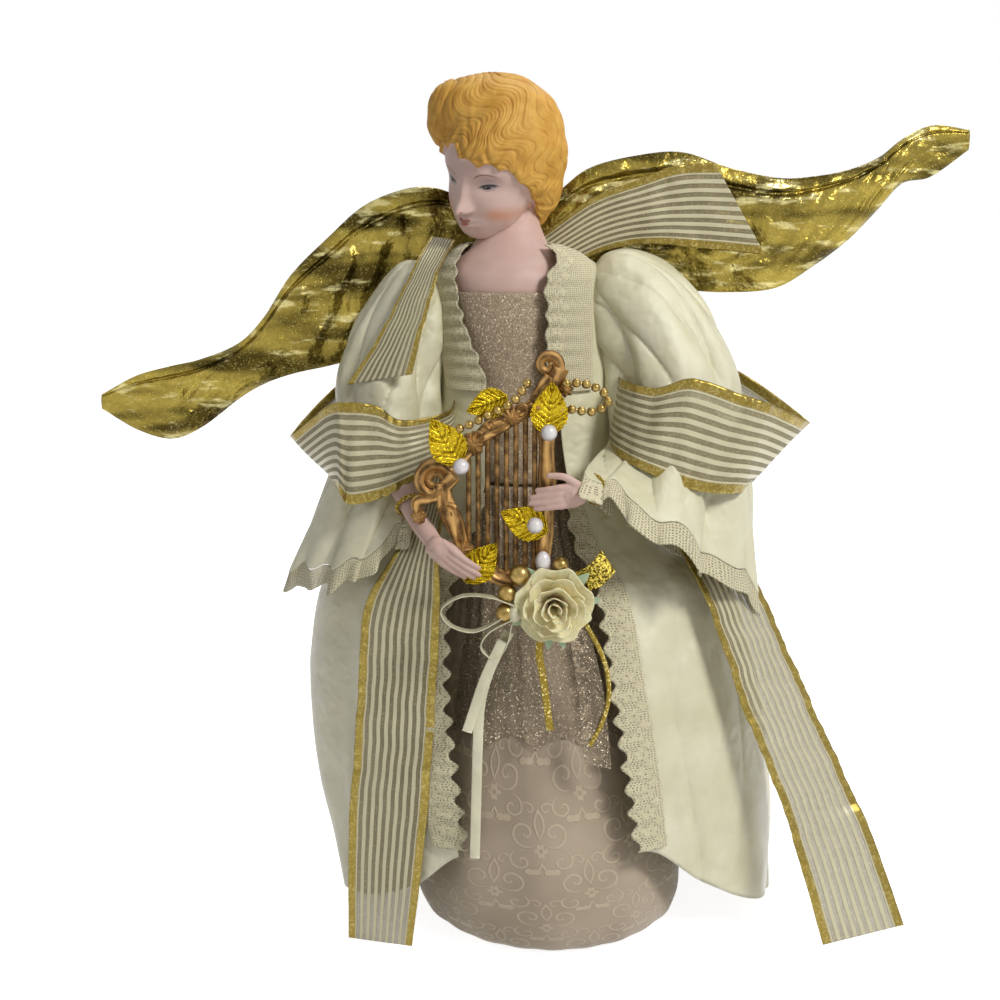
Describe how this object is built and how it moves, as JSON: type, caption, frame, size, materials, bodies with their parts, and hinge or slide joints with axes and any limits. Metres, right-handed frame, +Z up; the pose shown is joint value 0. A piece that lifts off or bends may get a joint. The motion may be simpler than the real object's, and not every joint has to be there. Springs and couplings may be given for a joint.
{
  "type": "angel tree topper",
  "caption": "Doll angel on a hollow cone for a tree's tip, in a satin coat and brocade skirt, with padded gold wings on wires, a wired-ribbon bow and a cast harp with a floral spray.",
  "frame": {"origin": "centre of the cone's open mouth, on the surface that the figure stands on", "axes": "+Z up; the figure faces -Y; +X is the viewer's right, the side of the longer ribbon loop"},
  "size_m": [0.4042, 0.1526, 0.3857],
  "materials": {
    "cone_board": "matt",
    "muslin": "plain woven cotton",
    "bisque": "matt painted bisque",
    "gold_braid": "metallic thread",
    "lurex": "glitter cloth",
    "brocade": "satin-faced brocade",
    "sheer_gauze": "sheer glitter cloth",
    "satin": "satin",
    "lace": "open lace",
    "gold_lame": "metallic cloth, padded",
    "wire": "plain wire",
    "wired_ribbon": "sheer with satin stripes and metallic wired edges",
    "bronze": "antique gold",
    "gold_foil": "bright foil",
    "pearl": "pearlescent",
    "gold_bead": "metallised",
    "petal": "matt"
  },
  "bodies": {
    "figure": {"base_cone": "cone_board", "torso_core": "muslin", "upper_arm_left": "muslin", "upper_arm_right": "muslin", "head_bust": "bisque", "forearm_left": "bisque", "forearm_right": "bisque", "bracelet_left": "gold_braid", "bracelet_right": "gold_braid", "gold_tail": "gold_braid", "gold_cord": "gold_braid", "mesh_end": "gold_braid", "bodice": "lurex", "skirt": "brocade", "peplum": "sheer_gauze", "sheer_tail": "sheer_gauze", "coat_back": "satin", "coat_front_left": "satin", "coat_front_right": "satin", "sleeve_left": "satin", "sleeve_right": "satin", "satin_bow": "satin", "satin_tail_long": "satin", "satin_tail_short": "satin", "collar_lace_left": "lace", "collar_lace_right": "lace", "edge_lace_left": "lace", "edge_lace_right": "lace", "cuff_lace_left": "lace", "cuff_lace_right": "lace", "wing_tie": "wire", "ribbon_knot": "wired_ribbon", "ribbon_loop_left": "wired_ribbon", "ribbon_loop_right": "wired_ribbon", "ribbon_tail_left": "wired_ribbon", "ribbon_tail_right": "wired_ribbon", "ribbon_end_left": "wired_ribbon", "ribbon_end_right": "wired_ribbon", "harp": "bronze", "leaf_1": "gold_foil", "leaf_2": "gold_foil", "leaf_3": "gold_foil", "leaf_4": "gold_foil", "leaf_5": "gold_foil", "pearl_1": "pearl", "pearl_2": "pearl", "pearl_3": "pearl", "pearl_long": "pearl", "berry_1": "gold_bead", "berry_2": "gold_bead", "berry_3": "gold_bead", "berry_4": "gold_bead", "bead_garland_left": "gold_bead", "bead_garland_right": "gold_bead", "rose": "petal"},
    "wing_left_body": {"wing_left": "gold_lame", "wing_wire_left": "wire"},
    "wing_right_body": {"wing_right": "gold_lame", "wing_wire_right": "wire"}
  },
  "joints": [
    {"name": "wing_left_fold", "type": "hinge", "parent": "figure", "child": "wing_left_body", "pos_m": [-0.0215, 0.03, 0.303], "axis": [0, 0, -1], "range_deg": [0, 35]},
    {"name": "wing_right_fold", "type": "hinge", "parent": "figure", "child": "wing_right_body", "pos_m": [-0.0215, 0.03, 0.303], "axis": [0, 0, 1], "range_deg": [0, 35]}
  ]
}
